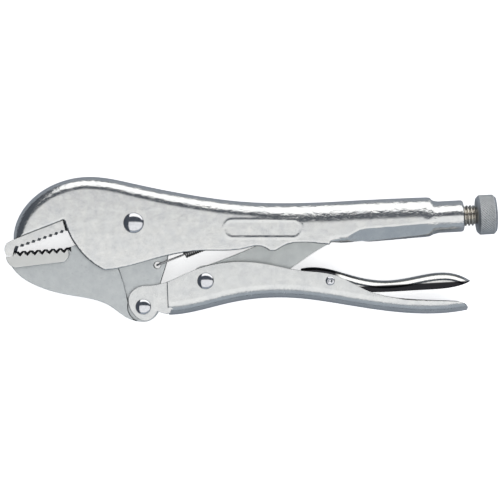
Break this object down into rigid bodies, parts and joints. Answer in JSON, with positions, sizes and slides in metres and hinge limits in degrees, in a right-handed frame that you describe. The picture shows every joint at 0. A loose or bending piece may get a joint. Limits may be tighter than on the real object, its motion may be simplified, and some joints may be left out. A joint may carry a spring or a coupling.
{
  "type": "locking pliers",
  "caption": "Over-centre toggle pliers: straight toothed jaws, folded-sheet handles, release lever and a knurled screw that sets the grip.",
  "frame": {"origin": "centre of the bounding box at its lowest point, with the pliers lying on their side", "axes": "+X runs along the length from the nose to the knob, +Y from the lower handle to the upper handle, +Z across the thickness; every pivot is parallel to Z"},
  "size_m": [0.2543, 0.075, 0.0206],
  "materials": {
    "plated_shell": "bright nickel plate over folded sheet steel",
    "plated_handle": "satin nickel plate over folded sheet steel",
    "forged_jaw": "satin plated forging with dark teeth",
    "link_steel": "dark grey plated bar",
    "lever_steel": "bright nickel plate over thin folded sheet",
    "rivet_steel": "polished domed head",
    "spring_wire": "drawn spring wire",
    "screw_steel": "machined, with a warm tint in the thread"
  },
  "bodies": {
    "upper_frame": {"upper_handle": "plated_shell", "fixed_jaw": "forged_jaw", "jaw_pivot_rivet": "rivet_steel", "jaw_spring": "spring_wire"},
    "moving_jaw": {"lower_jaw": "forged_jaw"},
    "moving_handle": {"lower_handle": "plated_handle", "handle_rivet": "rivet_steel", "link_rivet": "rivet_steel", "lever_rivet": "rivet_steel"},
    "link": {"toggle_link": "link_steel"},
    "lever": {"release_lever": "lever_steel"},
    "screw": {"adjusting_screw": "screw_steel"},
    "knob": {"adjusting_knob": "screw_steel"}
  },
  "joints": [
    {"name": "jaw_pivot", "type": "hinge", "parent": "upper_frame", "child": "moving_jaw", "pos_m": [-0.06065, 0.01359, 0.0103], "axis": [0, 0, 1], "range_deg": [0, 14], "deforming": ["jaw_spring"]},
    {"name": "handle_pivot", "type": "hinge", "parent": "moving_jaw", "child": "moving_handle", "pos_m": [-0.05575, -0.02961, 0.0103], "axis": [0, 0, 1], "range_deg": [-57, 0]},
    {"name": "link_pivot", "type": "hinge", "parent": "moving_handle", "child": "link", "pos_m": [-0.02365, -0.01631, 0.0103], "axis": [0, 0, 1], "range_deg": [0, 63]},
    {"name": "release_pivot", "type": "hinge", "parent": "moving_handle", "child": "lever", "pos_m": [0.04045, -0.01621, 0.0103], "axis": [0, 0, 1], "range_deg": [-5, 0]},
    {"name": "screw_slide", "type": "slide", "parent": "upper_frame", "child": "screw", "axis": [0.9986, 0.0523, 0], "range_m": [0, 0.018]},
    {"name": "knob_turn", "type": "hinge", "parent": "screw", "child": "knob", "pos_m": [0.11657, 0.01766, 0.0103], "axis": [0.9986, 0.0523, 0], "range_deg": [0, 3601]}
  ],
  "couplings": [
    {"joint": "handle_pivot", "follows": "jaw_pivot", "ratio": -4.05},
    {"joint": "link_pivot", "follows": "jaw_pivot", "ratio": 4.47},
    {"joint": "knob_turn", "follows": "screw_slide", "rad_per_m": 3490.7}
  ]
}
